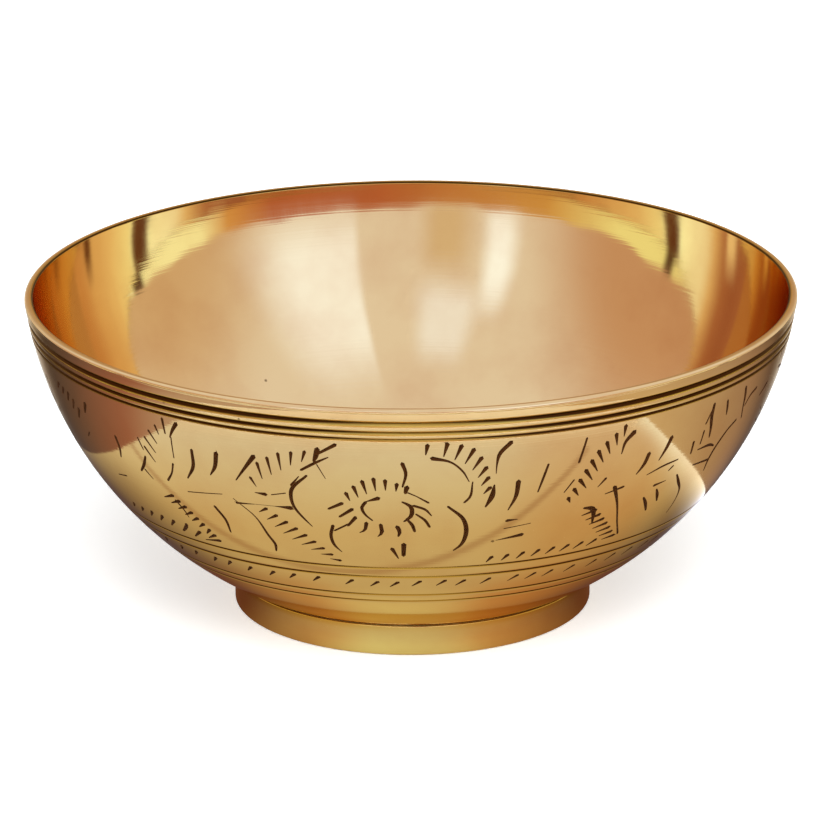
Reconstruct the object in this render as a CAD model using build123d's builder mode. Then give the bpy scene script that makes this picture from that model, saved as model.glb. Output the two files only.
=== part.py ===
"""Turned brass offering bowl: a thin spherical shell with a reeded lip, on a low soldered foot ring.

Millimetres, +Z up, the foot stands on z = 0 and the turning axis is Z.
"""

import os
from math import hypot, sqrt

from build123d import *

# Overall sizes
rim_diameter = 125.0
overall_height = 52.5

# Shell
wall_thickness = 1.4
base_thickness = 1.8
lip_edge = wall_thickness / 4  # easing on both edges of the lip
floor_blend = rim_diameter / 6  # radius between the inner wall and the flat floor

# Foot ring
foot_diameter = 58.2
foot_height = 5.2  # from the table to the flat underside of the shell
foot_wall = 2.6
foot_edge = foot_wall / 6  # easing where the ring meets the table

# Solder between the ring and the shell
solder_film = 0.2
solder_inset = 0.3  # how far the film stays back from the outside, which shows as a dark line
solder_fillet = 1.2  # leg of the fillet inside the ring

# Turned lines: distance along the outer wall, width, depth
lip_lines = [(2.3, 0.8, 0.32), (3.95, 0.55, 0.24), (5.2, 0.4, 0.16)]  # down from the lip
border_lines = [(15.6, 0.35, 0.12), (18.1, 0.5, 0.2), (24.3, 0.45, 0.18), (27.0, 0.4, 0.14)]  # up from the foot

rim_radius = rim_diameter / 2
foot_radius = foot_diameter / 2
foot_bore = foot_radius - foot_wall
ring_top = foot_height - solder_film
floor_height = foot_height + base_thickness

# The outer wall is the one sphere about the axis that passes through the lip and the top of the foot.
centre_height = (rim_radius**2 - foot_radius**2 + overall_height**2 - foot_height**2) / (
    2 * (overall_height - foot_height)
)
outer_radius = hypot(rim_radius, overall_height - centre_height)
inner_radius = outer_radius - wall_thickness
inner_lip = sqrt(inner_radius**2 - (overall_height - centre_height) ** 2)
inner_floor = sqrt(inner_radius**2 - (floor_height - centre_height) ** 2)

os.makedirs("parts", exist_ok=True)


# The shell: the inner wall is a sphere about the same centre, so it is even from lip to floor.
with BuildPart() as bowl_shell:
    with BuildSketch(Plane.XZ) as shell_section:
        with BuildLine():
            outer_wall = RadiusArc((rim_radius, overall_height), (foot_radius, foot_height), outer_radius)
            Polyline((foot_radius, foot_height), (0, foot_height), (0, floor_height), (inner_floor, floor_height))
            RadiusArc((inner_floor, floor_height), (inner_lip, overall_height), -inner_radius)
            Line((inner_lip, overall_height), (rim_radius, overall_height))
        make_face()
        corners = shell_section.vertices()
        chamfer(corners.filter_by(lambda corner: corner.Y > overall_height - lip_edge), lip_edge)
        fillet(corners.sort_by_distance((inner_floor, floor_height))[0], floor_blend)

        # Each turned line is a pointed cut square to the wall.
        centre = Vector(0, centre_height)
        lower_lines = [(outer_wall.length - rise, width, depth) for rise, width, depth in border_lines]
        for distance, width, depth in lip_lines + lower_lines:
            on_wall = outer_wall.position_at(distance, PositionMode.LENGTH)
            outward = (on_wall - centre).normalized()
            along = outward.rotate(Axis.Z, 90)
            with BuildLine():
                Polyline(
                    on_wall - outward * depth,
                    on_wall + along * width + outward * depth,
                    on_wall - along * width + outward * depth,
                    close=True,
                )
            make_face(mode=Mode.SUBTRACT)
    revolve(axis=Axis.Z)
bowl_shell.part.label = "bowl_shell"
export_step(bowl_shell.part, "parts/bowl_shell.step")


# The foot: a plain turned ring, eased where it stands.
with BuildPart() as foot_ring:
    with BuildSketch(Plane.XZ) as ring_section:
        with BuildLine():
            Polyline((foot_bore, 0), (foot_radius, 0), (foot_radius, ring_top), (foot_bore, ring_top), close=True)
        make_face()
        chamfer(ring_section.vertices().group_by(Axis.Y)[0], foot_edge)
    revolve(axis=Axis.Z)
foot_ring.part.label = "foot_ring"
export_step(foot_ring.part, "parts/foot_ring.step")


# The solder: a film on top of the ring and a fillet in the corner inside it.
with BuildPart() as solder_seam:
    with BuildSketch(Plane.XZ):
        with BuildLine():
            Polyline(
                (foot_bore - solder_fillet, foot_height),
                (foot_radius - solder_inset, foot_height),
                (foot_radius - solder_inset, ring_top),
                (foot_bore, ring_top),
                (foot_bore, foot_height - solder_fillet),
                close=True,
            )
        make_face()
    revolve(axis=Axis.Z)
solder_seam.part.label = "solder_seam"
export_step(solder_seam.part, "parts/solder_seam.step")
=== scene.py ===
"""Turned brass offering bowl with a reeded lip and a cut flower border, on a soldered foot ring.

Metres, +Z up: the foot stands on z = 0 and the turning axis is Z. Degrees round the bowl are counted from the
front, which is -Y, towards +X. Distances down the wall are arc lengths from the lip.
"""
from functools import partial
import bpy
import numpy as np
from bpy.props import FloatProperty, FloatVectorProperty, IntProperty, PointerProperty
from bpy.types import Operator, Panel, PropertyGroup
from mathutils import Matrix, Vector
from mathutils.geometry import delaunay_2d_cdt


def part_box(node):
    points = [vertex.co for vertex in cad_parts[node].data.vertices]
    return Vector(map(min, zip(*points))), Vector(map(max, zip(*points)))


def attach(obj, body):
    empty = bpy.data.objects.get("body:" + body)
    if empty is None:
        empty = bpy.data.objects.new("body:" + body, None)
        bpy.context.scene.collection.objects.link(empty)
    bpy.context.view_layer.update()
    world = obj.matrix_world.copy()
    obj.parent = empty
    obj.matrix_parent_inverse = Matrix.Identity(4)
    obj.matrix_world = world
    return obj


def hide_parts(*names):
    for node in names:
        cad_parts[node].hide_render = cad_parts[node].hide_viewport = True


bl_info = {
    "name": "Offering bowl",
    "version": (1, 0, 0),
    "blender": (4, 5, 0),
    "location": "View3D > Sidebar > Offering bowl",
    "description": "Builds a turned, hand-cut brass offering bowl and a plain studio round it",
    "category": "Add Mesh",
}

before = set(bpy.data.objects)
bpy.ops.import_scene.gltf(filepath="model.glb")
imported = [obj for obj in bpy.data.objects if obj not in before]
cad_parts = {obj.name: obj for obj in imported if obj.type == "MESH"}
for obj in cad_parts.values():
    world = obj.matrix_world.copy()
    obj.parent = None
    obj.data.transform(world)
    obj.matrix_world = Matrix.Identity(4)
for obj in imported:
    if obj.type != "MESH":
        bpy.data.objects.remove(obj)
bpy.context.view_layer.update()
SHELL_LOW, SHELL_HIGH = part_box("bowl_shell")
FOOT_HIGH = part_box("foot_ring")[1]
SEAM_LOW, SEAM_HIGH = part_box("solder_seam")
MM = 0.001
ROUND = 240  # steps round the axis
JOIN = 1e7  # places to the metre: points that share one are joined
FRONT_GLEAM, REACH = 0.7, 60  # share of the patina taken off at the very front, a painted reflection that lightens the turned lines there, and the power that keeps it to the front


def linear(hex_colour):
    """sRGB hex to linear RGBA, by the usual curve: c / 12.92 below 0.04045, else ((c + 0.055) / 1.055) ** 2.4."""
    c = np.array([int(hex_colour[i:i + 2], 16) for i in (1, 3, 5)]) / 255
    c = np.where(c <= 0.04045, c / 12.92, ((c + 0.055) / 1.055) ** 2.4)
    return (*c.tolist(), 1.0)


def length_setting(name, description, default):
    """A setting for a length, in metres."""
    return FloatProperty(name=name, description=description, default=default, unit="LENGTH")


def colour_setting(name, description, hex_colour):
    """A setting for a colour, from its sRGB hex."""
    return FloatVectorProperty(name=name, description=description, default=linear(hex_colour), subtype="COLOR",
                               size=4, min=0, max=1)


class BowlForm(PropertyGroup):
    """Sizes of the turned shell, its foot and the solder between them."""
    rim_radius: length_setting("Rim radius", "Axis to the outer corner of the lip", 62.5 * MM)
    height: length_setting("Height", "Table to the top of the lip", SHELL_HIGH[2])
    wall: length_setting("Wall", "Thickness of the shell", 1.4 * MM)
    base: length_setting("Base", "Thickness of the flat bottom", 1.8 * MM)
    floor_blend: length_setting("Floor blend", "Radius between the inner wall and the floor", 125 / 6 * MM)
    underside: length_setting("Underside", "Table to the flat underside of the shell", SHELL_LOW[2])
    foot_radius: length_setting("Foot radius", "Axis to the outside of the foot ring", FOOT_HIGH[0])
    foot_wall: length_setting("Foot wall", "Thickness of the foot ring", 2.6 * MM)
    foot_top: length_setting("Foot top", "Table to the top of the foot ring", FOOT_HIGH[2])
    foot_edge: length_setting("Foot edge", "Round on the edges of the foot ring", 0.4 * MM)
    lip_lines: FloatVectorProperty(name="Lip lines", description="Turned lines below the lip, down the wall",
                                   size=3, default=(2.45 * MM, 4.05 * MM, 5.2 * MM), unit="LENGTH")
    border_lines: FloatVectorProperty(name="Border lines", description="Turned lines above the foot, up the wall",
                                      size=4, default=(27.0 * MM, 24.3 * MM, 18.1 * MM, 15.6 * MM), unit="LENGTH")


class CutWork(PropertyGroup):
    """How the flower border is cut."""
    repeats: IntProperty(name="Repeats", description="Times the flower goes round the bowl", default=5, min=1)
    slope: FloatProperty(name="Slope", description="Depth of a cut over half its width", default=0.7)
    weight: FloatProperty(name="Weight", description="Width of the cuts, over the width they are drawn with",
                          default=1.1)
    hand: length_setting("Hand", "How far repeats stray from each other", 0.35 * MM)
    seed: IntProperty(name="Seed", description="Chooses how the repeats stray", default=11)


class BowlFinish(PropertyGroup):
    """Colours of the metal."""
    brass: colour_setting("Brass", "Buffed brass", "#E0BE87")
    foot: colour_setting("Foot brass", "Paler brass of the foot ring", "#E6CB90")
    edge: colour_setting("Edge tint", "Brass seen at a glancing angle", "#F8E7CB")
    tarnish: colour_setting("Tarnish", "Faint warm film on the brass", "#CFA06C")
    amber: colour_setting("Amber", "Golden film beside the turned lines", "#D8AA4C")
    lines: colour_setting("Lines", "Brown polish and oxide in the turned lines", "#452409")
    blackened: colour_setting("Blackened", "Polish and oxide left in the cuts", "#371905")
    solder: colour_setting("Solder", "Dull hard solder", "#A98F62")


class Studio(PropertyGroup):
    """The plain studio and the camera."""
    floor: colour_setting("Floor", "Pale floor", "#EFF3F6")
    daylight: FloatProperty(name="Daylight", description="Strength of the even light", default=0.38)
    lamp: FloatProperty(name="Lamp", description="Power of the soft lamp", default=32.0, unit="POWER")
    distance: length_setting("Distance", "Camera to the middle of the bowl", 1.003125)
    elevation: FloatProperty(name="Elevation", description="Camera above the horizon", default=np.radians(18.86),
                             subtype="ANGLE")
    roll: FloatProperty(name="Roll", description="Tilt of the camera", default=np.radians(-0.31), subtype="ANGLE")
    lens: FloatProperty(name="Lens", description="Focal length in millimetres", default=267.4)


# Shapes

def straight(start, end, rows):
    """A straight run of a profile. Rows of radius and height, and of the normal, which is the run turned a quarter
    to the right."""
    start, end = np.array(start, float), np.array(end, float)
    run = (end - start) / np.hypot(*(end - start))
    points = start + np.linspace(0, 1, rows)[:, None] * (end - start)
    return points, np.tile((run[1], -run[0]), (rows, 1))


def arc(centre, radius, first, last, rows):
    """A round of a profile: centre + radius (cos, sin) from the first to the last degree. The normal points out of
    the circle where the angle grows, and into it where it shrinks."""
    a = np.radians(np.linspace(first, last, rows))
    out = np.stack([np.cos(a), np.sin(a)], -1)
    return np.array(centre) + radius * out, out * np.sign(last - first)


def flowing(points):
    """A free profile through close rows: the normal is the local run turned a quarter to the right."""
    run = np.gradient(points, np.r_[0, np.cumsum(np.hypot(*np.diff(points, axis=0).T))], axis=0)
    run /= np.hypot(*run.T)[:, None]
    return points, np.stack([run[:, 1], -run[:, 0]], -1)


def bend(p, q, r, s, rows=8):
    """A cubic curve from p to s, which leaves towards q and arrives from r: the usual four weights of t and 1 - t."""
    t = np.linspace(0, 1, rows)[:, None]
    return (1 - t) ** 3 * p + 3 * t * (1 - t) ** 2 * q + 3 * t ** 2 * (1 - t) * r + t ** 3 * s


def turned(section, patina=None):
    """A profile carried round the axis: (r sin a, -r cos a, z) at ROUND even angles. Returns points, normals,
    triangles and one patina value for each point, made thinner towards the front as painted reflection, so that the
    lines there read lighter."""
    profile, normal = section
    rows = len(profile)
    a = np.radians(np.linspace(-180, 180, ROUND + 1))
    ring = np.stack([np.sin(a), -np.cos(a), np.ones_like(a)], -1)
    points = profile[:, None, [0, 0, 1]] * ring
    normals = normal[:, None, [0, 0, 1]] * ring
    i = np.arange((rows - 1) * (ROUND + 1)).reshape(rows - 1, -1)[:, :-1].ravel()
    up = i + ROUND + 1
    triangles = np.concatenate([np.stack([i, i + 1, up + 1], -1), np.stack([i, up + 1, up], -1)])
    patina = np.zeros(rows) if patina is None else patina
    # Painted reflection: the patina fades towards the front, where the lines would catch the light.
    front_gleam_patina = patina[:, None] * (1 - FRONT_GLEAM * np.cos(a / 2) ** REACH)
    return points.reshape(-1, 3), normals.reshape(-1, 3), triangles, front_gleam_patina.ravel()


def add_mesh(name, patches, materials):
    """One closed mesh from patches of points, normals, triangles, patina and, where some faces are cut, the
    material of each face. Points that meet are joined, faces that shrink to a line go, and the normals that the
    formulas give are kept at every corner, so that the metal reflects like a true turned form."""
    start = np.cumsum([0] + [len(p[0]) for p in patches])
    points = np.concatenate([p[0] for p in patches])
    normals = np.concatenate([p[1] for p in patches])
    faces = np.concatenate([p[2] + s for p, s in zip(patches, start)])
    patina = np.concatenate([p[3] for p in patches])
    paint = np.concatenate([p[4] if len(p) > 4 else np.zeros(len(p[2]), int) for p in patches])
    _, keep, same = np.unique(np.round(points * JOIN).astype(np.int64), axis=0, return_index=True,
                              return_inverse=True)
    same = same.ravel()
    joined = same[faces]
    good = (joined[:, 0] != joined[:, 1]) & (joined[:, 1] != joined[:, 2]) & (joined[:, 2] != joined[:, 0])
    faces, joined, paint = faces[good], joined[good], paint[good]
    corner = normals[faces]
    p = points[keep][joined]
    flat = np.cross(p[:, 1] - p[:, 0], p[:, 2] - p[:, 0])
    flat /= np.maximum(np.linalg.norm(flat, axis=1), 1e-20)[:, None]
    corner = np.where((paint > 0)[:, None, None], flat[:, None], corner)
    mesh = bpy.data.meshes.new(name)
    mesh.vertices.add(len(keep))
    mesh.vertices.foreach_set("co", points[keep].ravel())
    mesh.loops.add(joined.size)
    mesh.loops.foreach_set("vertex_index", joined.ravel().astype(np.int32))
    mesh.polygons.add(len(joined))
    mesh.polygons.foreach_set("loop_start", np.arange(0, joined.size, 3, dtype=np.int32))
    mesh.polygons.foreach_set("material_index", paint.astype(np.int32))
    mesh.attributes.new("patina", "FLOAT", "POINT").data.foreach_set("value", patina[keep])
    mesh.update(calc_edges=True)
    mesh.validate()
    mesh.shade_smooth()
    mesh.normals_split_custom_set(corner.reshape(-1, 3).tolist())
    for material in materials:
        mesh.materials.append(material)
    obj = bpy.data.objects.new(name, mesh)
    bpy.context.scene.collection.objects.link(obj)
    return obj


# The wall

class Wall:
    """The outer wall: the sphere about the axis through the corner of the lip and the top of the foot."""
    line_widths = (1.2, 0.95, 0.7, 0.65, 0.75, 0.75, 0.65)  # of the turned lines in millimetres, from the lip down
    line_depths = (0.34, 0.26, 0.2, 0.16, 0.2, 0.2, 0.16)
    first_reed = 0.75 * MM  # from the lip down to the top of the first reed
    reed_fall = 0.07  # how far the edges of a reed lie below its middle, over its width

    def __init__(self, form):
        rim, high, foot, low = form.rim_radius, form.height, form.foot_radius, form.underside
        self.centre = (rim ** 2 - foot ** 2 + high ** 2 - low ** 2) / (2 * (high - low))
        self.radius = np.hypot(rim, high - self.centre)
        self.lip = np.arctan2(self.centre - high, rim)
        self.length = self.radius * (np.arctan2(self.centre - low, foot) - self.lip)
        places = [*form.lip_lines, *(self.length - up for up in form.border_lines)]
        self.lines = [(down, width * MM, depth * MM)
                      for down, width, depth in zip(places, self.line_widths, self.line_depths)]
        self.reeds = [self.first_reed, *form.lip_lines]

    def sunk(self, down):
        """How far the turned lines and the rounded reeds between them lie inside the sphere, and how dark they are:
        each line is depth (1 - |u|) ** 1.4 over its width, each reed falls off as the square from its middle."""
        line, dark, reed = np.zeros((3, len(down)))
        for middle, width, depth in self.lines:
            u = np.clip(1 - np.abs(down - middle) / (width / 2), 0, 1)
            line, dark = np.maximum(line, depth * u ** 1.4), np.maximum(dark, u)
        for top, low in zip(self.reeds[:-1], self.reeds[1:]):
            u = np.abs(2 * (down - (top + low) / 2) / (low - top))
            reed = np.maximum(reed, np.where(u < 1, self.reed_fall * (low - top) * u ** 2, 0))
        return line + reed, dark

    def profile(self, down):
        """Radius and height at arc lengths below the lip, with the lines and reeds cut in, and the patina in them."""
        sunk, dark = self.sunk(down)
        a = self.lip + down / self.radius
        r = self.radius - sunk
        return np.stack([r * np.cos(a), self.centre - r * np.sin(a)], -1), dark

    def at(self, degrees, down, sunk):
        """Points and sphere normals at angles round the axis and arc lengths below the lip."""
        a, b = np.radians(degrees), self.lip + down / self.radius
        normals = np.stack([np.sin(a) * np.cos(b), -np.cos(a) * np.cos(b), -np.sin(b)], -1)
        points = normals * (self.radius - sunk)[:, None]
        points[:, 2] += self.centre
        return points, normals

    def rows(self, top, low, plain):
        """Arc lengths from low up to top: close together across each line, and plain apart elsewhere."""
        steps = [np.linspace(top, low, max(2, int(np.ceil((low - top) / plain)) + 1))]
        steps += [middle + width / 2 * np.linspace(-1, 1, 11) for middle, width, _ in self.lines]
        steps = np.round(np.concatenate(steps), 7)
        return np.unique(steps[(steps >= top - 1e-9) & (steps <= low + 1e-9)])[::-1]


# The cut flower border, in degrees round and millimetres down

def smooth(points, rows):
    """A smooth curve through given points: cubic pieces by chord length, each slope taken from the
    neighbours."""
    p = np.array(points, float)
    t = np.r_[0, np.cumsum(np.hypot(*np.diff(p[:, :2], axis=0).T))]
    slope = np.gradient(p, t, axis=0)
    u = np.linspace(0, t[-1], rows)
    i = np.clip(np.searchsorted(t, u, side="right") - 1, 0, len(t) - 2)
    h = (t[i + 1] - t[i])[:, None]
    x = (u - t[i])[:, None] / h
    return ((1 + 2 * x) * (1 - x) ** 2 * p[i] + x * (1 - x) ** 2 * h * slope[i]
            + x ** 2 * (3 - 2 * x) * p[i + 1] + x ** 2 * (x - 1) * h * slope[i + 1])


def spray(heads, tails, count, wide=0.65, fine=0.15):
    """Tapering cuts side by side: their heads and tails are spaced evenly along two smooth curves."""
    head, tail = smooth(heads, count), smooth(tails, count)
    return [[(*a, wide), (*b, fine)] for a, b in zip(head, tail)]


def leaves():
    """The leaf sprays between two flowers: rows of short cuts along bent stems."""
    cuts = spray([(-23.4, 11.1), (-19.8, 8.8), (-16.2, 8.1), (-13.6, 7.4)],
                 [(-23, 14.1), (-19.8, 12), (-16.6, 10), (-14.3, 9.6)], 6, 0.55)
    cuts += spray([(-23.5, 20.4), (-18.75, 24.5), (-12.75, 31.5)],
                  [(-25, 21.4), (-21.8, 25.7), (-14.5, 31.2)], 9, 0.6, 0.12)
    cuts += spray([(5.1, 5.9), (8.9, 7.1), (10.8, 10.2), (11.75, 14.7)],
                  [(4.6, 8.2), (7.9, 9.8), (9.8, 12.4), (10.9, 15.8)], 7, 0.7, 0.18)
    cuts += spray([(32.6, 6.4), (28.75, 9.9), (26.3, 15.3), (25, 18.8)],
                  [(32.6, 8.3), (29.7, 12.6), (27.7, 17.3), (25.5, 19.8)], 9, 0.7, 0.16)
    cuts += spray([(31, 22.7), (34.2, 26.2), (38, 30.6)], [(28.6, 23.4), (31.8, 27), (35.6, 31)], 7, 0.7, 0.2)
    cuts += spray([(14, 30.9), (23.4, 30.5), (34.1, 30.6)], [(13.2, 32.2), (22, 31.9), (32.6, 31.8)], 8, 0.7, 0.2)
    return cuts + [
        [(-23.75, 9.9, 0.75), (-27.6, 15.2, 0.2)], [(-25, 14.2, 0.5), (-24.3, 15.9, 0.12)],
        [(-11, 6.3, 0.6), (-13.6, 8.1, 0.4)], [(-12.2, 8.7, 0.2), (-14.2, 9.9, 0.45), (-16.5, 11.5, 0.4)],
        [(-13.7, 7.3, 0.8), (-14, 8.6, 0.8), (-14.4, 9.6, 0.4)],
        [(-14, 10.2, 0.2), (-12.9, 12.8, 0.12)], [(-17, 12.8, 0.15), (-18.4, 14.7, 0.45)],
        [(-15.75, 12.5, 0.35), (-18.6, 15.9, 0.6), (-18.75, 18.6, 0.5), (-17, 22.2, 0.3), (-16.25, 23.3, 0.15)],
        [(-23, 17.3, 0.7), (-24.8, 17.2, 0.12)], [(-19.6, 16.5, 0.2), (-22, 17.2, 0.2)],
        [(-19.3, 19.6, 0.8), (-21, 19.6, 0.3), (-29, 20, 0.12)],
        [(-29.1, 19.3, 0.15), (-26, 22.7, 0.25), (-24.75, 26.8, 0.45), (-24.1, 29.1, 0.5), (-24.5, 30.7, 0.3)],
        [(-28.75, 20.2, 0.35), (-25.5, 19.8, 0.15)],
        [(-34.5, 10.8, 0.5), (-35, 14, 0.6), (-36.9, 16.9, 0.25)],
        [(-30.1, 10.5, 0.75), (-30.9, 13.3, 0.6), (-32.1, 15.1, 0.2)],
        [(-33.4, 22, 0.5), (-32.25, 24.8, 0.5), (-32.4, 27.75, 0.3)], [(-38, 20, 0.2), (-31, 18.8, 0.16)],
        [(2.25, 6.1, 0.7), (2, 7.8, 0.2)], [(2.9, 8.5, 0.7), (5.6, 9.3, 0.35), (7.5, 11.2, 0.3), (8.5, 13.2, 0.15)],
        [(9.05, 13.3, 0.2), (8.6, 16.7, 0.4), (8, 17.4, 0.35)],
        [(14.4, 6.3, 0.7), (12.75, 8.4, 0.6), (12.5, 10.1, 0.3), (12.5, 12, 0.12)],
        [(12.4, 14.2, 0.25), (12.2, 16.5, 0.85), (11.4, 18.6, 0.3)],
        [(16.1, 13.9, 0.75), (16, 17, 0.6), (15.1, 19.7, 0.2)],
        [(20.5, 11.2, 0.35), (20, 13.8, 0.4), (19.5, 16.5, 0.25)],
        [(15.25, 22.1, 0.6), (17, 22, 0.12)], [(15, 23.9, 0.2), (19.4, 23.3, 0.15)],
        [(18.4, 25.8, 0.75), (14, 26.6, 0.12)],
        [(26.2, 7.3, 0.35), (25.5, 11.7, 0.4)], [(25.25, 15.1, 0.3), (24, 17.4, 0.2)],
        [(34.4, 7.9, 0.9), (33.1, 9.4, 0.6), (32.8, 11.6, 0.2)], [(31, 16, 0.5), (29.9, 17.5, 0.15)],
        [(33.25, 18.3, 0.7), (35, 22.2, 0.4), (37, 27, 0.3), (38.9, 30.5, 0.35)],
        [(31.75, 19.4, 0.2), (35, 18.7, 0.5)], [(28.5, 21.7, 0.4), (29.9, 22, 0.8), (31.4, 25.9, 0.3)],
    ]


def flower():
    """The flower: an open heart, a ring of short petal cuts, and two long petals that hold it."""
    cuts = spray([(-10, 15.5), (-7.25, 12.9), (-5.5, 12.4), (-2.25, 13.4)],
                 [(-9.5, 17), (-6.7, 15.4), (-5.25, 14.7), (-2.4, 14.8)], 6, 0.65)
    cuts += spray([(-10.75, 17.65), (-9.2, 18.9), (-8.9, 20.6)], [(-13, 19), (-11.4, 20.6), (-10.25, 22.5)],
                  3, 0.6, 0.4)
    return cuts + [
        [(-7.1, 17.2, 0.5), (-7.75, 18.35, 0.5), (-7.4, 19.7, 0.4), (-6.25, 21.1, 0.25)],
        [(-5.1, 16.3, 0.75), (-6.9, 17, 0.2)],
        [(-1.5, 17, 0.3), (-0.25, 17.9, 0.6), (-0.25, 20.2, 0.6), (-1.25, 21.2, 0.3)],
        [(-0.9, 20.6, 0.3), (0, 22, 0.55), (0.4, 23.5, 0.4)],
        [(-10.25, 22.2, 0.35), (-12.6, 23.85, 0.3)], [(-7.25, 21.7, 0.6), (-7.75, 23.5, 0.4), (-8.5, 24, 0.15)],
        [(-5, 22, 0.55), (-5, 24.1, 0.5), (-5.6, 24.8, 0.15)],
        [(-2.4, 22.4, 0.65), (-2, 23.6, 0.6), (-2.25, 24.65, 0.3)],
        [(0.6, 15.8, 0.2), (2.5, 17.2, 0.35)], [(0.25, 17.8, 0.45), (2.1, 18.7, 0.4), (3, 20, 0.2)],
        [(0.6, 19.6, 0.3), (2.1, 21.1, 0.45), (2.75, 22.5, 0.4)],
        [(-0.75, 14, 0.8), (-1, 15.1, 0.5)], [(-0.6, 15.1, 0.25), (0.75, 15.9, 0.2)],
        [(-1.4, 9.4, 0.6), (-0.9, 11.2, 0.5), (-1.4, 13.9, 0.3)],
        [(-12.75, 22.7, 0.5), (-13.4, 25.2, 0.5), (-13.1, 27.5, 0.45), (-12.1, 29.1, 0.15)],
        [(5.5, 18.1, 0.35), (8.1, 21.1, 0.6), (8.75, 24.3, 0.7), (8, 27.3, 0.5), (7, 28.4, 0.3)],
        [(-3.4, 27.75, 0.65), (-2.4, 30.3, 0.2)], [(-1.4, 26.6, 0.75), (-1.5, 29.5, 0.6)],
    ]


def side_leaves():
    """The sprays to the left and right of the front flower, which the engraver drew more freely."""
    cuts = spray([(-42.1, 22), (-40.4, 23.7), (-38, 27.2), (-36.5, 30), (-36.2, 31)],
                 [(-44.5, 23), (-42.6, 24.7), (-40, 27.7), (-38.4, 30.6), (-39.9, 31.8)], 9, 0.65, 0.2)
    cuts += spray([(-40.2, 29.9), (-46.3, 29), (-57.8, 29)], [(-42.4, 31.7), (-48.1, 30.7), (-59, 30.1)],
                  7, 0.65, 0.25)
    cuts += spray([(-40.8, 7.8), (-43.5, 10.3), (-44.4, 12.7)], [(-40.4, 9.3), (-42.4, 13.7), (-43, 15.3)],
                  4, 0.45, 0.2)
    cuts += spray([(-60.8, 10.8), (-62.3, 9.2), (-66.5, 8)], [(-62, 12.7), (-63.5, 10.9), (-67.6, 9.1)], 5, 0.75, 0.4)
    return cuts + [
        [(-36.4, 6.4, 0.7), (-37.5, 8, 0.5), (-38.2, 9.3, 0.25)], [(-39, 6.1, 0.5), (-39, 8.8, 0.3)],
        [(-38, 9.3, 0.25), (-38.5, 13.3, 0.2)], [(-45.4, 11.3, 0.35), (-44.9, 13.4, 0.25)],
        [(-45, 14.8, 0.4), (-46.2, 16.8, 0.55), (-47.6, 18.4, 0.35)], [(-46.4, 17.8, 0.4), (-45.3, 19.4, 0.2)],
        [(-39.1, 14.6, 0.35), (-40, 16.6, 0.3), (-41.6, 18.6, 0.4)],
        [(-42, 23, 0.4), (-41, 25, 0.35), (-40.8, 26.5, 0.2)],
        [(-42.7, 28.8, 0.6), (-43.6, 30, 0.5), (-45, 31.2, 0.25)],
        [(-51.3, 12.8, 0.55), (-51.3, 15.2, 0.5), (-52, 17, 0.3)], [(-53.2, 21.3, 0.3), (-56, 21.9, 0.2)],
        [(-57.7, 8.8, 0.8), (-58.7, 10.6, 0.5)], [(-60, 14.9, 0.35), (-61.2, 16, 0.2)],
        [(38.3, 12.9, 0.75), (37.9, 14.9, 0.7), (36.9, 16.6, 0.25)],
        [(42.3, 10.9, 0.8), (41.8, 12.7, 0.7), (40.9, 14.9, 0.25)],
        [(45.5, 16.1, 0.3), (42.3, 16.5, 0.4), (39.3, 17.4, 0.2)], [(44.9, 17.2, 0.4), (44.2, 17.9, 0.3)],
        [(42, 20.4, 0.55), (44.5, 20.1, 0.15)], [(40.7, 22.6, 0.35), (41.9, 24.2, 0.6), (43, 26.1, 0.35)],
        [(43.1, 21.5, 0.3), (44, 23, 0.6), (44.7, 24.5, 0.3)],
        [(46.9, 19.6, 0.3), (48.3, 21.5, 0.55), (50, 23.8, 0.35), (50.7, 27, 0.25), (50.6, 29.3, 0.2)],
        [(50.8, 7.3, 0.6), (50.9, 9.5, 0.75), (51.6, 11.8, 0.6), (52.1, 13.8, 0.35)],
        [(50.5, 8.6, 0.3), (49.9, 10.6, 0.4)],
        [(50, 12, 0.4), (50.1, 14.5, 0.3)], [(48.1, 13.5, 0.5), (48.4, 15.8, 0.4)],
        [(50, 15.6, 0.25), (53.6, 15.8, 0.5), (54.6, 16.3, 0.3)],
        [(54.4, 7.8, 0.5), (54.9, 9.4, 0.5), (55.2, 10.6, 0.25)],
        [(59.4, 7, 0.6), (60.1, 9.2, 0.6), (60.5, 11, 0.4), (61.4, 13.3, 0.3)],
        [(63.9, 8.6, 0.6), (62, 9.4, 0.5), (61, 10.8, 0.35)],
        [(59.5, 13, 0.5), (57.5, 14.2, 0.5), (56.2, 15.8, 0.6), (55.3, 17.5, 0.6), (55, 19.5, 0.5),
         (55.3, 21.5, 0.3)],
        [(50.5, 18.8, 0.3), (54.6, 19.1, 0.5)], [(69, 9.4, 0.6), (66.8, 10.9, 0.4)],
    ]


def border_cuts(work):
    """The flower and its leaves at the front, as drawn, with the sprays at its sides, and the same flower repeated
    round the rest of the bowl. There each cut strays a little in place and width, as hand work does."""
    hand = np.random.default_rng(work.seed)
    drawn = [np.array(cut, float) for cut in flower() + leaves()]
    cuts = drawn + [np.array(cut, float) for cut in side_leaves()]
    step, stray = 360 / work.repeats, work.hand / MM
    for turn in range(1, work.repeats):
        for cut in drawn:
            shift = hand.normal(0, stray, 2) + hand.normal(0, 0.3 * stray, (len(cut), 2)) + (step * turn, 0)
            wide = hand.uniform(1 - 0.4 * stray, 1 + 0.4 * stray)
            if step < cut[:, 0].mean() + step * turn < 360 - step:
                cuts.append(np.c_[cut[:, :2] + shift, cut[:, 2] * wide])
    return [cut * (1, 1, work.weight) for cut in cuts]


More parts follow.
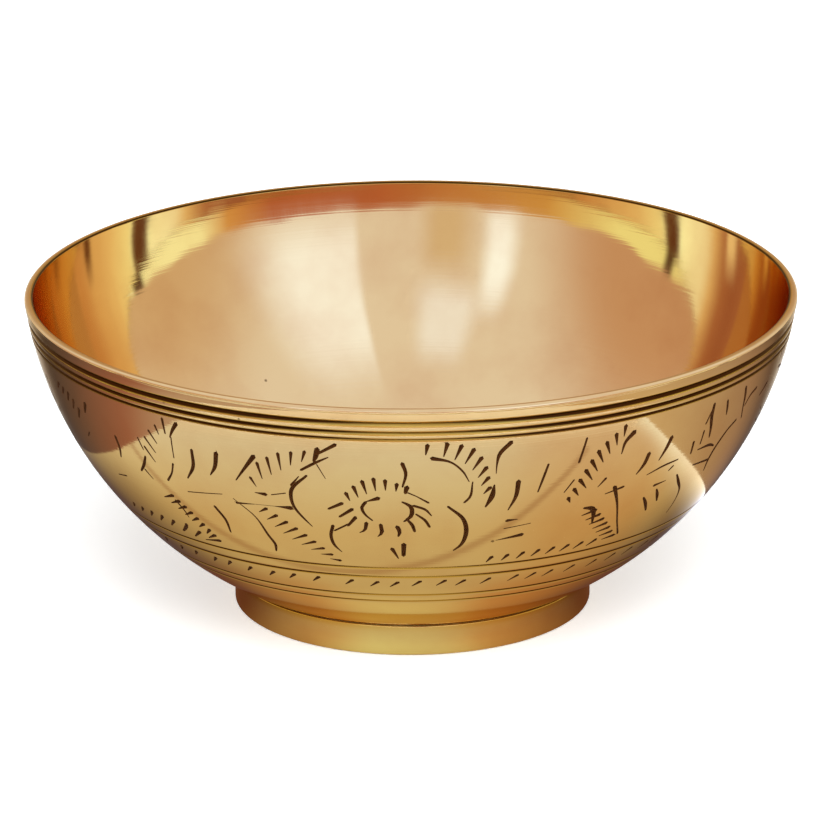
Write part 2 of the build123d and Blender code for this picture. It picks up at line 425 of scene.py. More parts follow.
def nick_cuts(work):
    """One row of slanting nicks round the bowl, about 4.8 degrees apart and a little uneven."""
    hand = np.random.default_rng(work.seed + 1)
    front = [-23.1, -18.1, -11.5, -6.6, -2.75, 1.5, 6.25, 10, 14.9, 20.5, 24.2, 27.9]
    rest = np.linspace(front[-1], front[0] + 360, 65)[1:-1]
    places = np.r_[front, rest + hand.normal(0, 0.5, len(rest))]
    drop = hand.normal(0, 0.15, len(places))
    top, long, slant = 37.4, 1.5, 1.6  # millimetres down the wall, millimetres long, degrees
    return [np.array([(a, top + d, 0.7), (a - slant, top + long + d, 0.2)]) for a, d in zip(places, drop)]


def engraved(wall, work, cuts, top, low):
    """A band of the wall with V cuts in it. Each cut is drawn flat, as degrees and millimetres, with an outline at
    half its width on both sides of its middle line; a constrained triangulation joins outlines, middle lines and a
    plain grid, and every point sinks by slope times the half width, less its distance from the middle line."""
    # Millimetres: steps along a cut, its least width, clear of the band's edges, and between plain rows
    step, least, margin, plain = 0.5, 0.1, 0.12, 2
    nose, tip = 0.45, 0.6  # how far the ends of a cut reach, over their widths
    sinks, darkens = 0.012, 0.01  # millimetres deep from which a point sinks and a face is dark
    flat, edges, spines, count = [], [], [], 0

    def narrow(down):
        """Millimetres to a degree round the axis, at arc lengths below the lip."""
        return np.radians(1) * wall.radius / MM * np.cos(wall.lip + down * MM / wall.radius)

    for cut in cuts:
        centre = (cut[0, 0] + cut[-1, 0]) / 2
        for turn in (-360, 0, 360):
            if not -184 < centre + turn < 184:
                continue
            line = smooth(cut + (turn, 0, 0), max(4, int(np.hypot(*np.ptp(cut[:, :2], axis=0)) / step)))
            line[:, 2] = np.maximum(line[:, 2], least)
            k = narrow(line[:, 1].mean())
            p = line[:, :2] * (k, -1)
            run = np.gradient(p, axis=0)
            run /= np.hypot(*run.T)[:, None]
            side = np.stack([-run[:, 1], run[:, 0]], -1) * line[:, 2:] / 2
            first, last = p[:1] - nose * run[:1] * line[0, 2], p[-1:] + tip * run[-1:] * line[-1, 2]
            ring = np.concatenate([first, p + side, last, (p - side)[::-1]])
            i = np.arange(len(ring)) + count
            edges.append(np.stack([i, np.roll(i, -1)], -1))
            j = np.arange(len(p)) + count + len(ring)
            edges.append(np.stack([j[:-1], j[1:]], -1))
            flat.append(np.concatenate([ring, p]) / (k, 1))
            spines.append(np.c_[p[:-1] / (k, 1), p[1:] / (k, 1), line[:-1, 2] / 2, line[1:, 2] / 2])
            count += len(ring) + len(p)
    flat = np.concatenate(flat)
    flat[:, 1] = np.clip(flat[:, 1], margin - low, -top - margin)
    spines = np.concatenate(spines)
    ring = np.linspace(-180, 180, ROUND + 1)
    rows = np.linspace(top, low, int((low - top) / plain) + 1)
    sides = np.stack(np.meshgrid(ring[::2], -rows[1:-1]), -1).reshape(-1, 2)
    frame_points = np.concatenate([np.c_[ring, np.full_like(ring, -top)], np.c_[ring, np.full_like(ring, -low)]])
    k = np.arange(ROUND) + count
    edges += [np.stack([k, k + 1], -1), np.stack([k, k + 1], -1) + ROUND + 1]
    edges.append(np.array([[0, ROUND + 1], [ROUND, 2 * ROUND + 1]]) + count)
    every = np.concatenate([flat, frame_points, sides])
    found = delaunay_2d_cdt(every.tolist(), np.concatenate(edges).tolist(), [], 0, 1e-5, False)
    points = np.round(np.array(found[0]), 4)
    faces = np.array(found[2])
    faces = faces[np.abs(points[faces].mean(1)[:, 0]) < 180]

    def depth(p):
        """Depth in millimetres at flat points: the deepest of the cuts that they lie in, a slice of degrees at a
        time."""
        deep, wide, spare = np.zeros(len(p)), 12, 3
        for start in np.arange(-186, 186, wide):
            here = np.flatnonzero((p[:, 0] >= start) & (p[:, 0] < start + wide))
            near = spines[(np.maximum(spines[:, 0], spines[:, 2]) > start - spare)
                          & (np.minimum(spines[:, 0], spines[:, 2]) < start + wide + spare)]
            if len(here) == 0 or len(near) == 0:
                continue
            to_mm = np.stack([narrow(-p[here, 1]), np.ones(len(here))], -1)[:, None]
            a = (p[here, None] - near[None, :, :2]) * to_mm
            b = (near[:, 2:4] - near[:, :2])[None] * to_mm
            t = np.clip((a * b).sum(-1) / (b * b).sum(-1), 0, 1)
            away = np.hypot(*np.moveaxis(a - b * t[..., None], -1, 0))
            half = near[:, 4] + (near[:, 5] - near[:, 4]) * t
            deep[here] = np.maximum(0, (half - away).max(1)) * work.slope
        return deep

    sunk = depth(points)
    sunk = np.where(sunk > sinks, sunk, 0)
    cut = depth(points[faces].mean(1)) > darkens
    place, normals = wall.at(points[:, 0], -points[:, 1] * MM, sunk * MM)
    return place, normals, faces, np.zeros(len(points)), cut.astype(int)


# Finishes

def add_node(owner, kind, inputs=None, **settings):
    """Adds a shader node to a material or world. settings are the node's own. Each of inputs, by name or number, is
    joined to another node's output or holds a value."""
    node = owner.node_tree.nodes.new("ShaderNode" + kind)
    for key, value in settings.items():
        setattr(node, key, value)
    for key, value in (inputs or {}).items():
        if isinstance(value, bpy.types.NodeSocket):
            owner.node_tree.links.new(value, node.inputs[key])
        else:
            node.inputs[key].default_value = value
    return node


def new_material(name):
    """A material with no nodes yet, and the function that adds a node to it."""
    material = bpy.data.materials.new(name)
    material.use_nodes = True
    material.node_tree.nodes.clear()
    return material, partial(add_node, material)


def buffed_brass(name, brass, finish, shine):
    """Brass, spun or turned and then buffed: a warm mirror with a faint uneven film, soft waves left by the hand
    wheel, hair-fine rings from turning, small dark pits, and brown polish caught in the turned lines with a golden
    film beside it. The rings are drawn 0.45 mm apart, coarser than real ones, so that they show."""
    material, node = new_material(name)
    place = node("TexCoord").outputs["Object"]
    film = node("TexNoise", {"Vector": place, "Scale": 1 / (14 * MM), "Detail": 4.0, "Roughness": 0.55})
    thin = node("MapRange", {"Value": film.outputs[0], "From Min": 0.42, "From Max": 0.72, "To Min": 0.0,
                             "To Max": 0.45})
    metal = node("Mix", {"Factor": thin.outputs[0], 6: brass, 7: finish.tarnish}, data_type="RGBA")
    cells = node("TexVoronoi", {"Vector": place, "Scale": 1 / (9 * MM)})
    pits = node("MapRange", {"Value": cells.outputs["Distance"], "From Min": 0.022, "From Max": 0.04, "To Min": 0.7,
                             "To Max": 0.0})
    patina = node("Attribute", attribute_name="patina").outputs["Fac"]
    lines = node("MapRange", {"Value": patina, "From Min": 0.08, "From Max": 0.42})
    dark = node("Math", {0: lines.outputs[0], 1: pits.outputs[0]}, operation="MAXIMUM")
    beside = node("MapRange", {"Value": patina, "From Min": 0.0, "From Max": 0.1})
    golden = node("Mix", {"Factor": beside.outputs[0], 6: metal.outputs[2], 7: finish.amber}, data_type="RGBA")
    colour = node("Mix", {"Factor": dark.outputs[0], 6: golden.outputs[2], 7: finish.lines}, data_type="RGBA")
    rough = node("MapRange", {"Value": film.outputs[0], "From Min": 0.35, "From Max": 0.75, "To Min": shine,
                              "To Max": shine + 0.06})
    dull = node("Math", {0: dark.outputs[0], 1: 0.4, 2: rough.outputs[0]}, operation="MULTIPLY_ADD")
    axes = node("SeparateXYZ", {0: place})
    flat = node("CombineXYZ", {0: axes.outputs[0], 1: axes.outputs[1]})
    out = node("VectorMath", {0: flat.outputs[0]}, operation="LENGTH")
    profile = node("CombineXYZ", {0: out.outputs["Value"], 2: axes.outputs[2]})
    rings = node("TexNoise", {"Vector": profile.outputs[0], "Scale": 1 / (0.45 * MM), "Detail": 2.0})
    fine = node("Bump", {"Height": rings.outputs[0], "Strength": 1.0, "Distance": 0.006 * MM})
    waves = node("TexNoise", {"Vector": place, "Scale": 1 / (22 * MM), "Detail": 1.0})
    soft = node("Bump", {"Height": waves.outputs[0], "Normal": fine.outputs[0], "Strength": 1.0,
                         "Distance": 0.2 * MM})
    shader = node("BsdfPrincipled", {"Base Color": colour.outputs[2], "Roughness": dull.outputs[0], "Metallic": 1.0,
                                     "Specular Tint": finish.edge, "Normal": soft.outputs[0]})
    node("OutputMaterial", {"Surface": shader.outputs[0]})
    return material


def blackened_cut(finish):
    """Brass cut with a graver and left dark with old polish: brown-black, dull and a little uneven."""
    material, node = new_material("blackened_cut_brass")
    place = node("TexCoord").outputs["Object"]
    grain = node("TexNoise", {"Vector": place, "Scale": 1 / (1.2 * MM), "Detail": 3.0})
    tone = node("Mix", {"Factor": grain.outputs[0], 6: finish.blackened, 7: linear("#54300F")}, data_type="RGBA")
    shader = node("BsdfPrincipled", {"Base Color": tone.outputs[2], "Roughness": 0.55, "Specular IOR Level": 0.04})
    node("OutputMaterial", {"Surface": shader.outputs[0]})
    return material


def hard_solder(finish):
    """Hard solder, run in with a torch: pale brassy metal under a dull brown scale."""
    material, node = new_material("hard_solder")
    place = node("TexCoord").outputs["Object"]
    scale = node("TexNoise", {"Vector": place, "Scale": 1 / (2.5 * MM), "Detail": 5.0})
    tone = node("Mix", {"Factor": scale.outputs[0], 6: finish.solder, 7: linear("#5B4428")}, data_type="RGBA")
    bump = node("Bump", {"Height": scale.outputs[0], "Strength": 0.4, "Distance": 0.2 * MM})
    shader = node("BsdfPrincipled", {"Base Color": tone.outputs[2], "Metallic": 1.0, "Roughness": 0.42,
                                     "Normal": bump.outputs[0]})
    node("OutputMaterial", {"Surface": shader.outputs[0]})
    return material


def place_piece(obj, node):
    """Puts a finished piece in the place of its CAD node."""
    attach(obj, "root")
    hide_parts(node)


class OFFERING_BOWL_OT_shell(Operator):
    """Builds the thin spherical shell: reeded lip, cut flower border, turned lines, inside and flat bottom"""
    bl_idname = "offering_bowl.shell"
    bl_label = "Bowl shell"

    def execute(self, context):
        scene = context.scene
        form, work = scene.bowl_form, scene.bowl_cuts
        wall = Wall(form)
        clear = 0.05 * MM  # kept between the turned lines and the bands that are cut: the flowers, then the nicks
        field, band = (np.round((upper[0] + upper[1] / 2 + clear, lower[0] - lower[1] / 2 - clear), 6)
                       for upper, lower in (wall.lines[2:4], wall.lines[4:6]))
        inner = wall.radius - form.wall
        lip = 0.55 * MM  # how far down the rounded lip reaches
        shoulder, _ = wall.profile(np.array([lip]))
        a = wall.lip + lip / wall.radius
        inside = np.array([inner * np.cos(a), wall.centre - inner * np.sin(a)])
        top = np.array([(shoulder[0, 0] + inside[0]) / 2, form.height])
        # How far the lip's curves keep to the wall, and to the level at the top
        up, flat = 0.3 * MM * np.array([np.sin(a), np.cos(a)]), 0.42 * MM * np.array([1, 0])
        edge = np.concatenate([bend(shoulder[0], shoulder[0] + up, top + flat, top),
                               bend(top, top - flat, inside + up, inside)[1:]])
        inner_line = np.interp(np.arange(len(edge)), (8, 11, 13, 14), (0, 0.5, 0.5, 0))  # darker along the inside of the lip
        down = wall.rows(lip, field[0], 0.12 * MM)
        reeds, black = wall.profile(down)
        floor = form.underside + form.base
        high = floor + form.floor_blend
        out = np.sqrt((inner - form.floor_blend) ** 2 - (wall.centre - high) ** 2)
        steep = np.degrees(np.arctan2(wall.centre - high, out))
        patches = [
            turned(flowing(reeds), black), turned(flowing(edge), inner_line),
            turned(arc((0, wall.centre), inner, -np.degrees(a), -steep, 40)),
            turned(arc((out, high), form.floor_blend, -steep, -90, 14)),
            turned(straight((out, floor), (0, floor), 8)),
        ]
        down = wall.rows(field[1], band[0], 0.4 * MM)
        lines_between, black = wall.profile(down)
        patches.append(turned(flowing(lines_between), black))
        down = wall.rows(band[1], wall.length, 0.8 * MM)
        lower, black = wall.profile(down)
        lower[0] = form.foot_radius, form.underside  # the exact corner, so that the bottom closes
        patches += [turned(straight((0, form.underside), (form.foot_radius, form.underside), 8)),
                    turned(flowing(lower), black)]
        patches.append(engraved(wall, work, border_cuts(work), *(field / MM)))
        patches.append(engraved(wall, work, nick_cuts(work), *(band / MM)))
        brass = buffed_brass("buffed_brass", scene.bowl_finish.brass, scene.bowl_finish, 0.05)
        obj = add_mesh("engraved_bowl_shell", patches, [brass, blackened_cut(scene.bowl_finish)])
        place_piece(obj, "bowl_shell")
        return {"FINISHED"}


class OFFERING_BOWL_OT_foot(Operator):
    """Builds the turned foot ring with its rounded edges"""
    bl_idname = "offering_bowl.foot"
    bl_label = "Foot ring"

    def execute(self, context):
        form, finish = context.scene.bowl_form, context.scene.bowl_finish
        r, w, h, e = form.foot_radius, form.foot_wall, form.foot_top, form.foot_edge
        sections = [
            straight((r - w + e, 0), (r - e, 0), 3), arc((r - e, e), e, -90, 0, 8),
            straight((r, e), (r, h - e / 2), 6), arc((r - e / 2, h - e / 2), e / 2, 0, 90, 6),
            straight((r - e / 2, h), (r - w, h), 3), straight((r - w, h), (r - w, e), 5),
            arc((r - w + e, e), e, 180, 270, 8)]
        brown = {2: np.array((0, 0, 0, 0, 0.02, 0.1)), 3: np.full(6, 0.15)}  # darker at the top of the ring, next to the seam under the bowl
        obj = add_mesh("turned_foot_ring", [turned(section, brown.get(i)) for i, section in enumerate(sections)],
                       [buffed_brass("turned_foot_brass", finish.foot, finish, 0.12)])
        place_piece(obj, "foot_ring")
        return {"FINISHED"}


class OFFERING_BOWL_OT_solder(Operator):
    """Builds the solder: a thin film on the ring and an uneven hollow fillet inside it"""
    bl_idname = "offering_bowl.solder"
    bl_label = "Solder seam"

    def execute(self, context):
        form = context.scene.bowl_form
        bore, out = form.foot_radius - form.foot_wall, SEAM_HIGH[0]
        low, film, high = SEAM_LOW[2], form.foot_top, form.underside
        leg = high - low
        sections = [
            straight((bore, film), (out, film), 3), straight((out, film), (out, high), 2),
            straight((out, high), (bore - leg, high), 4),
            arc((bore - leg, low), leg, 90, 0, 9), straight((bore, low), (bore, film), 2)]
        patches = [turned(s) for s in sections]
        points = patches[3][0]
        a = np.arctan2(points[:, 0], -points[:, 1])
        heavy = 0.06 * MM * (np.sin(5 * a) + 0.7 * np.sin(13 * a + 1) + 0.5 * np.sin(29 * a + 2))  # uneven run
        fill = np.clip((points[:, 2] - low) * (high - points[:, 2]) / (leg / 2) ** 2, 0, 1)
        points[:, :2] *= (1 - (0.1 * MM + heavy) * fill / np.hypot(points[:, 0], points[:, 1]))[:, None]
        obj = add_mesh("solder_fillet", patches, [hard_solder(context.scene.bowl_finish)])
        place_piece(obj, "solder_seam")
        return {"FINISHED"}


# The studio

def shown_rays(node):
    """What kind each ray is, and 1 for the rays that a viewer follows: camera, glossy and transmission, so that the
    metal shows the studio."""
    rays = node("LightPath").outputs
    seen = node("Math", {0: rays["Is Camera Ray"], 1: rays["Is Glossy Ray"]}, operation="MAXIMUM")
    seen = node("Math", {0: seen.outputs[0], 1: rays["Is Transmission Ray"]}, operation="MAXIMUM")
    return rays, seen.outputs[0]


def white_paper(studio):
    """Matt white paper: it takes the bowl's soft shadow, and reads as white to the camera and in the metal."""
    material, node = new_material("white_paper")
    rays, seen = shown_rays(node)
    in_metal = node("Math", {0: seen, 1: 0.06}, operation="MULTIPLY")
    lift = node("Math", {0: rays["Is Camera Ray"], 1: 0.5, 2: in_metal.outputs[0]}, operation="MULTIPLY_ADD")
    paper = node("BsdfPrincipled", {"Base Color": studio.floor, "Roughness": 0.9, "Specular IOR Level": 0.0})
    glow = node("Emission", {"Strength": lift.outputs[0]})
    both = node("AddShader", {0: paper.outputs[0], 1: glow.outputs[0]})
    node("OutputMaterial", {"Surface": both.outputs[0]})
    return material


def lit_card(name, second=False):
    """An evenly lit card: its colour and how far it covers come from its own tone and fade attributes. A second card
    shows only to light that has met the metal twice, as inside the bowl."""
    material, node = new_material(name)
    tone = node("Attribute", attribute_name="tone").outputs["Color"]
    cover = node("Attribute", attribute_name="fade").outputs["Fac"]
    if second:
        met = node("LightPath").outputs["Glossy Depth"]
        twice = node("Math", {0: met, 1: 1.5}, operation="GREATER_THAN")
        cover = node("Math", {0: cover, 1: twice.outputs[0]}, operation="MULTIPLY").outputs[0]
    glow = node("Emission", {"Color": tone})
    clear = node("BsdfTransparent")
    mix = node("MixShader", {0: cover, 1: clear.outputs[0], 2: glow.outputs[0]})
    node("OutputMaterial", {"Surface": mix.outputs[0]})
    return material


def stage_sheet(name, points, material, tone=(1, 1, 1), fade=1.0, shown=False):
    """A stage sheet over a grid of points, rows by columns. Unless it is shown, only the metal sees it."""
    rows, columns = points.shape[:2]
    i = np.arange(rows * columns).reshape(rows, columns)
    faces = np.stack([i[:-1, :-1], i[:-1, 1:], i[1:, 1:], i[1:, :-1]], -1).reshape(-1, 4)
    mesh = bpy.data.meshes.new(name)
    mesh.from_pydata(points.reshape(-1, 3).tolist(), [], faces.tolist())
    tone = np.broadcast_to(tone, points.shape).reshape(-1, 3)
    fade = np.broadcast_to(fade, points.shape[:2]).ravel()
    mesh.attributes.new("tone", "FLOAT_VECTOR", "POINT").data.foreach_set("vector", tone.ravel())
    mesh.attributes.new("fade", "FLOAT", "POINT").data.foreach_set("value", fade)
    mesh.materials.append(material)
    obj = bpy.data.objects.new(name, mesh)
    bpy.context.scene.collection.objects.link(obj)
    obj.visible_camera = obj.visible_diffuse = obj.visible_shadow = shown


def four_cornered(corners, height, rows=2, columns=2):
    """A level sheet between corners a, b, c and d: (1 - v) (a to b) + v (d to c). Returns its points, u and v."""
    u, v = np.meshgrid(np.linspace(0, 1, columns), np.linspace(0, 1, rows))
    a, b, c, d = (np.array((*corner, height), float) for corner in corners)
    s, t = u[..., None], v[..., None]
    return (1 - t) * ((1 - s) * a + s * b) + t * ((1 - s) * d + s * c), u, v


def round_strip(first, last, low, high, columns=40, radius=1.5):
    """An upright strip round the bowl: radius (sin a, -cos a), between two elevations seen from the lip. Returns its
    points, u and v."""
    u, v = np.meshgrid(np.linspace(0, 1, columns), np.linspace(0, 1, 20))
    a, e = np.radians(first + (last - first) * u), np.radians(low + (high - low) * v)
    return np.stack([radius * np.sin(a), -radius * np.cos(a), 0.05 + radius * np.tan(e)], -1), u, v


def ease(low, high, x):
    """0 below low, 1 above high, and 3 t t - 2 t t t between."""
    t = np.clip((x - low) / (high - low), 0, 1)
    return t * t * (3 - 2 * t)


def graded(x, stops):
    """Colours at x, mixed in linear light between stops of place and hex colour."""
    place, tone = zip(*stops)
    return np.stack([np.interp(x, place, channel) for channel in np.array([linear(t)[:3] for t in tone]).T], -1)


# What the metal reflects: the side cards and strips by degrees from the front, the paper by millimetres from the axis
LEFT_SHADES = ((60, "#D0C0BC"), (78, "#AC7C74"), (105, "#746266"), (120, "#5C545A"))
RIGHT_SHADES = ((60, "#E4D6BC"), (105, "#B09E9A"), (122, "#766868"), (135, "#5C5458"))
# The paper's tones are painted light and shade round the foot: golden light from the bowl close to it, then its
# shadow, then white.
PAPER_SHADES = ((29, "#D8D2A2"), (31, "#ECEABC"), (40, "#DAD2B0"), (60, "#E4DAB8"), (80, "#EEF0E2"),
                (100, "#F4FCFF"))
STRIP_SHADES = ((-70, "#D4DEB0"), (-44, "#B8965C"), (10, "#A06044"), (45, "#9E5E42"), (60, "#BC945E"),
                (70, "#DEEED6"))
SECOND_SHADES = ((-60, "#5A464C"), (-48, "#604D51"), (-36, "#80868E"), (-25, "#8EB0E4"), (4, "#98C6FF"),
                 (14, "#8CA8BC"), (34, "#848E96"), (52, "#7E8082"), (70, "#746A64"))
STRIP_LIGHT, SECOND_LIGHT = 1.7, 6  # how much brighter than their shades the strips are
GAP = np.array((0.19, 0.075, 0.035))  # the dark gaps between lights
CARD_HEIGHT = 0.3 * MM  # of the cards that lie on the paper


class OFFERING_BOWL_OT_studio(Operator):
    """Sets the pale floor, the soft light, the cards that the metal reflects, and the camera"""
    bl_idname = "offering_bowl.studio"
    bl_label = "Studio"

    def execute(self, context):
        scene, studio = context.scene, context.scene.bowl_studio
        scene.view_settings.view_transform = "Standard"
        scene.cycles.max_bounces = scene.cycles.glossy_bounces = 16  # light runs round the inside of the bowl
        floor = four_cornered(((-3, -3), (3, -3), (3, 3), (-3, 3)), -0.05 * MM)[0]
        stage_sheet("paper_floor", floor, white_paper(studio), shown=True)
        paint = lit_card("lit_card")
        self.side_cards(paint)
        self.floor_light(paint)
        self.front_strips(paint)
        self.windows(paint)
        self.light(scene, studio)
        self.camera(scene, studio)
        return {"FINISHED"}

    def side_cards(self, paint):
        """Warm cards at both sides, darker and then clear towards the back, and a bright edge along the right one."""
        for name, corners, stops in (
                ("left_card", ((-0.6, -0.5), (-0.214, -0.5), (-0.061, 0.08), (-0.6, 0.08)), LEFT_SHADES),
                ("left_rear_card", ((-0.6, 0.08), (-0.061, 0.08), (-0.09, 0.4), (-0.6, 0.4)), LEFT_SHADES),
                ("right_card", ((0.292, -0.5), (0.6, -0.5), (0.6, 0.06), (0.041, 0.06)), RIGHT_SHADES),
                ("right_rear_card", ((0.041, 0.06), (0.6, 0.06), (0.6, 0.4), (0.08, 0.4)), RIGHT_SHADES)):
            points, _, _ = four_cornered(corners, CARD_HEIGHT, 60, 60)
            angle = np.degrees(np.arctan2(np.abs(points[..., 0]), -points[..., 1]))
            stage_sheet(name, points, paint, graded(angle, stops), 1 - ease(122, 152, angle))
        along = ((0.049, 0.045), (0.097, -0.058), (0.084, -0.063), (0.026, 0.036))
        points, u, v = four_cornered(along, CARD_HEIGHT + 0.1 * MM, 12, 24)
        stage_sheet("bright_edge", points, paint, (1.6, 1.9, 2.6) - ease(0, 1, u)[..., None] * (0.4, 0.5, 0.9),
                    (1 - v) ** 2.6)

    def floor_light(self, paint):
        """A soft dark band across the paper, painted shade of a fold, and painted light that the bowl throws on the
        paper: golden, warmer at the right, ruddy close to the foot, and the bowl's painted shadow dark at the sides,
        more so the nearer to the foot."""
        across = ((-0.09, -0.0195), (0.066, -0.0735), (0.066, -0.0685), (-0.09, -0.0145))
        points, _, v = four_cornered(across, CARD_HEIGHT, 12, 2)
        # Painted shade of a fold: a soft brown band on the paper that only the metal sees.
        stage_sheet("painted_fold_shade", points, paint, (0.4, 0.22, 0.12), 0.5 * np.sin(np.pi * v) ** 2)
        r, a = np.meshgrid(np.linspace(0.028, 0.12, 40), np.linspace(-180, 180, 181), indexing="ij")
        points = np.stack([r * np.sin(np.radians(a)), -r * np.cos(np.radians(a)), np.full_like(r, 0.2 * MM)], -1)
        half = 59 + 1150 * (r - 0.04)
        side = ease(half - 34, half + 34, np.abs(a)) * (1 - ease(125, 155, np.abs(a)))
        warm = (ease(12, 40, a) * (1 - ease(60, 80, a)))[..., None] * (0.08, 0.24, 0.36)
        ruddy = (ease(8, 32, np.abs(a + 4)) * (1 - ease(0.034, 0.046, r)))[..., None] * (0.12, 0.38, 0.5)
        tone = graded(r / MM, PAPER_SHADES) * (1 - warm) * (1 - ruddy)
        # Painted shadow of the bowl on the paper at the sides, darkest near the foot.
        dark = np.array((0.16, 0.065, 0.04)) + ease(0.032, 0.045, r)[..., None] * (-0.04, 0.02, 0.05)
        tone += (dark - tone) * side[..., None]
        stage_sheet("gold_on_paper", points, paint, tone, 1 - ease(0.1, 0.118, r))

    def front_strips(self, paint):
        """A low warm strip in front with an uneven top and a dark gap at each side, and a taller one that shows in
        second reflections only, with a dark gap in front and, low down, a narrow gap and a bright streak."""
        a = np.linspace(-104, 106, 211)
        top = 7.4 + ease(-15, 12, a) * (1 - ease(48, 72, a)) + 1.6 * ease(66, 84, np.abs(a))
        top += 0.3 * np.sin(a / 5) + 0.25 * np.sin(a / 2.2 + 1)
        points, _, v = round_strip(a[0], a[-1], -7, top, len(a))
        lit = np.minimum(ease(1.5, 2.5, np.abs(a + 91)), ease(2, 3, np.abs(a - 99.5)))[:, None]
        tone = 0.5 * GAP + (STRIP_LIGHT * graded(a, STRIP_SHADES) - 0.5 * GAP) * lit
        stage_sheet("front_strip", points, paint, tone[None], 1 - ease(0.93, 1, v))
        a = np.linspace(-75, 75, 301)
        points, _, v = round_strip(a[0], a[-1], 3, 50, len(a), 1.4)
        low = 1 - ease(0.2, 0.32, v)
        lit = ease(5, 8, np.abs(a - 3.5)) * (1 - low * (1 - ease(2, 5, np.abs(a - 57))))
        streak = low * (1 - ease(3, 8, np.abs(a + 56)))
        tone = GAP + (SECOND_LIGHT * graded(a, SECOND_SHADES) - GAP) * lit[..., None]
        tone += streak[..., None] * (0.9, 1.6, 2.4)
        stage_sheet("second_strip", points, lit_card("second_light", second=True), tone,
                    ease(0, 0.1, v) * (1 - ease(0.8, 1, v)))

    def windows(self, paint):
        """Pale windows and a tan card in front, and one tan card behind: first and last degree, lowest and highest
        elevation, colour, and how far across each one has come up and starts to go."""
        for name, first, last, low, high, tone, rise, fall in (
                ("right_window", 17, 64, 2, 68, (1.28, 1.62, 2.5), 0.05, 0.45),
                ("left_window", -39, -22, 1, 44, (1.34, 1.76, 2.8), 0.45, 0.6),
                ("small_window", -30, 2, 28, 60, (1.16, 1.42, 2.15), 0.35, 0.65),
                ("tan_card", -25, 0, 1, 32, (0.87, 0.79, 0.7), 0.45, 0.6),
                ("rear_card", 125, 235, 0, 42, (0.6, 0.47, 0.36), 0.5, 0.5)):
            points, u, v = round_strip(first, last, low, high)
            stage_sheet(name, points, paint, tone, ease(0, rise, u) * (1 - ease(fall, 1, u)) * ease(0, 0.3, v)
                        * (1 - ease(0.65, 1, v)))

    def light(self, scene, studio):
        """An even world, paler in front than at the sides and duller after many reflections, and one large soft lamp
        above the camera."""
        world = bpy.data.worlds.new("soft_daylight")
        world.use_nodes = True
        world.node_tree.nodes.clear()
        node = partial(add_node, world)
        rays, seen = shown_rays(node)
        way = node("TexCoord").outputs["Generated"]
        across = node("SeparateXYZ", {0: way}).outputs["X"]
        left = node("MapRange", {"Value": across, "From Min": -0.52, "From Max": -0.93},
                    interpolation_type="SMOOTHSTEP")
        right = node("MapRange", {"Value": across, "From Min": 0.6, "From Max": 1.0}, interpolation_type="SMOOTHSTEP")
        half = node("Mix", {"Factor": left.outputs[0], 6: (1.0, 1.07, 1.3, 1), 7: (0.73, 0.5, 0.4, 1)},
                    data_type="RGBA")
        both = node("Mix", {"Factor": right.outputs[0], 6: half.outputs[2], 7: (0.82, 0.67, 0.54, 1)},
                    data_type="RGBA")
        white = node("Mix", {"Factor": rays["Is Glossy Ray"], 6: (1, 1, 1, 1), 7: both.outputs[2]}, data_type="RGBA")
        deep = node("MapRange", {"Value": rays["Glossy Depth"], "From Min": 2.0, "From Max": 4.0})
        dull = node("Mix", {"Factor": deep.outputs[0], 6: (1, 1, 1, 1), 7: (0.64, 0.72, 1.2, 1)}, data_type="RGBA")
        colour = node("VectorMath", {0: white.outputs[2], 1: dull.outputs[2]}, operation="MULTIPLY")
        level = node("Math", {0: seen, 1: 1 - studio.daylight, 2: studio.daylight}, operation="MULTIPLY_ADD")
        sky = node("Background", {"Color": colour.outputs[0], "Strength": level.outputs[0]})
        node("OutputWorld", {"Surface": sky.outputs[0]})
        scene.world = world
        lamp = bpy.data.lights.new("soft_lamp", "AREA")
        lamp.size, lamp.energy = 1.2, studio.lamp
        lamp = bpy.data.objects.new("soft_lamp", lamp)
        lamp.location = spot = Vector((0.1, -1.1, 1.3))
        lamp.rotation_euler = (spot - Vector((0, 0, 0.02))).to_track_quat("Z", "Y").to_euler()
        lamp.visible_glossy = False
        scene.collection.objects.link(lamp)

    def camera(self, scene, studio):
        """A long lens in front, a little above the lip."""
        camera = bpy.data.objects.new("camera", bpy.data.cameras.new("camera"))
        scene.collection.objects.link(camera)
        camera.data.lens = studio.lens
        camera.data.sensor_width = 36
        camera.data.clip_end = 20
        middle, seen = Vector((0, 0, 0.025)), Vector((0.0004, 0.00185, 0.0304))  # of the bowl, and of the picture
        spot = middle + Vector((0, -np.cos(studio.elevation), np.sin(studio.elevation))) * studio.distance
        aim = seen - spot
        camera.matrix_world = (Matrix.Translation(spot) @ aim.to_track_quat("-Z", "Y").to_matrix().to_4x4()
                               @ Matrix.Rotation(studio.roll, 4, "Z"))
        scene.camera = camera


class OFFERING_BOWL_PT_pieces(Panel):
    """Lists the bowl's pieces and what can be set on them"""
    bl_label = "Offering bowl"
    bl_idname = "OFFERING_BOWL_PT_pieces"
    bl_space_type = "VIEW_3D"
    bl_region_type = "UI"
    bl_category = "Offering bowl"

    def draw(self, context):
        for operator in OPERATORS:
            self.layout.operator(operator.bl_idname)
        for group in GROUPS:
            settings = getattr(context.scene, group)
            box = self.layout.box()
            for name in settings.__annotations__:
                box.prop(settings, name)


GROUPS = {"bowl_form": BowlForm, "bowl_cuts": CutWork, "bowl_finish": BowlFinish, "bowl_studio": Studio}
OPERATORS = (OFFERING_BOWL_OT_shell, OFFERING_BOWL_OT_foot, OFFERING_BOWL_OT_solder, OFFERING_BOWL_OT_studio)


def register():
    """Makes the classes known and hangs the settings on the scene."""
    for cls in (*GROUPS.values(), *OPERATORS, OFFERING_BOWL_PT_pieces):
        bpy.utils.register_class(cls)
    for name, group in GROUPS.items():
        setattr(bpy.types.Scene, name, PointerProperty(type=group))


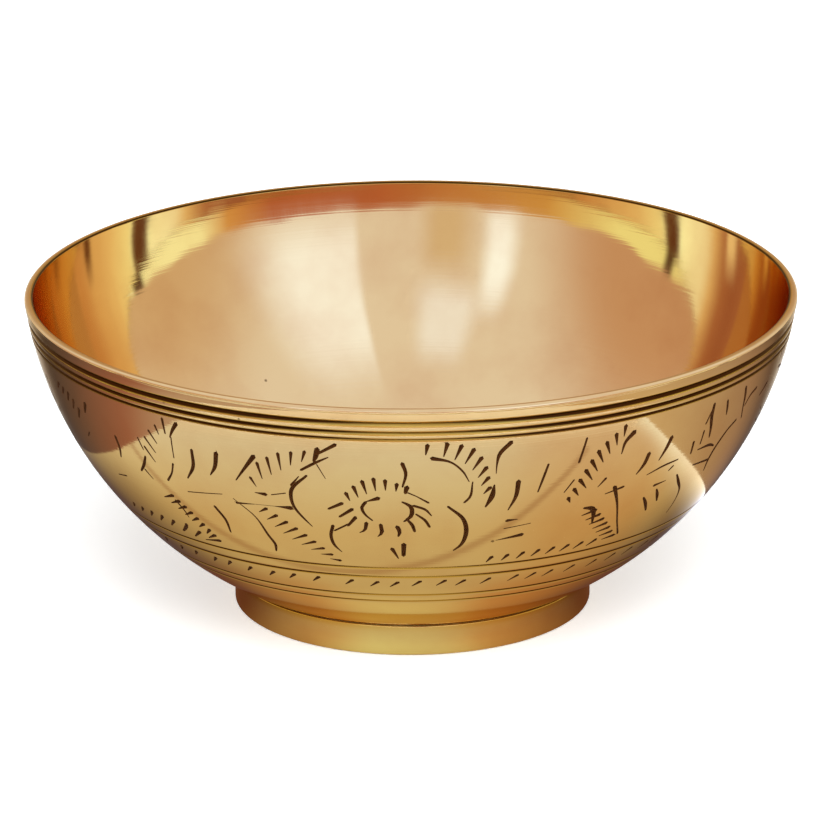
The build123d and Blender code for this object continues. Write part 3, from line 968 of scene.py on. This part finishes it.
def unregister():
    """Takes away what register made."""
    for name in GROUPS:
        delattr(bpy.types.Scene, name)
    for cls in (OFFERING_BOWL_PT_pieces, *reversed(OPERATORS), *reversed(GROUPS.values())):
        bpy.utils.unregister_class(cls)


def main():
    """Builds every piece and the studio."""
    register()
    bpy.ops.offering_bowl.shell()
    bpy.ops.offering_bowl.foot()
    bpy.ops.offering_bowl.solder()
    bpy.ops.offering_bowl.studio()


if __name__ == "__main__":
    main()
